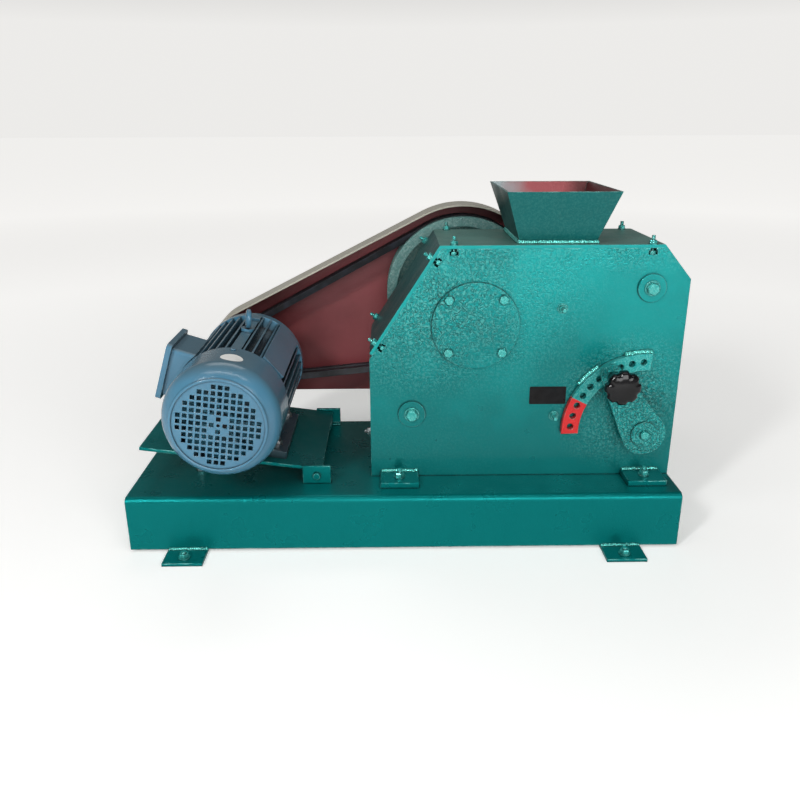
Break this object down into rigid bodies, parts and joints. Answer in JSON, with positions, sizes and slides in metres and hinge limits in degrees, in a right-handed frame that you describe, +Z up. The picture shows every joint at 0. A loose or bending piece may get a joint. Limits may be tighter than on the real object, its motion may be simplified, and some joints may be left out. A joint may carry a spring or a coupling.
{
  "type": "laboratory jaw crusher",
  "caption": "Small belt-driven jaw crusher on a folded steel base, with a square feed hopper, a motor on a hinged plate, a belt guard and an indexed adjusting lever.",
  "frame": {"origin": "on the floor, at the centre of the four foot holes", "axes": "+X along the base from the motor to the crusher, +Y from the control side to the belt side, +Z up"},
  "size_m": [0.85, 0.425, 0.535],
  "materials": {
    "frame_paint": "teal green hammertone enamel",
    "guard_primer": "red-brown primer",
    "motor_paint": "blue-grey enamel",
    "bright_steel": "machined steel",
    "jaw_iron": "cast manganese steel, dull",
    "belt_rubber": "black rubber",
    "knob_plastic": "glossy black",
    "fan_plastic": "black plastic"
  },
  "bodies": {
    "machine": {"base_frame": "frame_paint", "base_ends": "frame_paint", "mounting_feet": "frame_paint", "side_plate_front": "frame_paint", "side_plate_rear": "frame_paint", "cover_plate": "frame_paint", "left_end_wall": "frame_paint", "right_end_wall": "frame_paint", "hopper": "frame_paint", "hold_down_tabs": "frame_paint", "bearings": "bright_steel", "bearing_cover_front": "frame_paint", "bearing_cover_rear": "frame_paint", "moving_jaw": "jaw_iron", "moving_jaw_plate": "jaw_iron", "fixed_jaw": "jaw_iron", "fixed_jaw_plate": "jaw_iron", "cheek_plates": "jaw_iron", "toggle_plate": "jaw_iron", "toggle_bar": "bright_steel", "hanger_bar": "bright_steel", "bar_washers": "frame_paint", "quadrant": "frame_paint", "motor_plate": "frame_paint", "hinge_brackets": "frame_paint", "hinge_rod": "bright_steel", "jack_screws": "bright_steel", "motor_frame": "motor_paint", "motor_feet": "motor_paint", "motor_end_shield": "motor_paint", "motor_cowl": "motor_paint", "cowl_grille": "motor_paint", "terminal_box": "motor_paint", "terminal_box_lid": "motor_paint", "lifting_eye": "motor_paint", "belt_front": "belt_rubber", "belt_rear": "belt_rubber", "belt_guard": "guard_primer", "guard_brackets": "frame_paint"},
    "crusher_rotor": {"eccentric_shaft": "bright_steel", "crusher_pulley": "frame_paint"},
    "motor_rotor": {"motor_shaft": "bright_steel", "motor_fan": "fan_plastic", "motor_pulley": "frame_paint"},
    "adjusting_lever": {"lever_shaft": "bright_steel", "adjusting_arm": "frame_paint", "arm_washer": "frame_paint"},
    "index_knob": {"index_knob": "knob_plastic"}
  },
  "joints": [
    {"name": "crusher_spin", "type": "hinge", "parent": "machine", "child": "crusher_rotor", "pos_m": [0.108, 0, 0.3395], "axis": [0, 1, 0], "continuous": true},
    {"name": "motor_spin", "type": "hinge", "parent": "machine", "child": "motor_rotor", "pos_m": [-0.2643, 0, 0.22518], "axis": [0, 1, 0], "continuous": true},
    {"name": "lever_swing", "type": "hinge", "parent": "machine", "child": "adjusting_lever", "pos_m": [0.372, 0, 0.1708], "axis": [0, 1, 0], "range_deg": [-54.9, 27.45]},
    {"name": "knob_pull", "type": "slide", "parent": "adjusting_lever", "child": "index_knob", "axis": [0, 1, 0], "range_m": [0, 0.014]}
  ],
  "couplings": [
    {"joint": "motor_spin", "follows": "crusher_spin", "ratio": 2.3945}
  ]
}
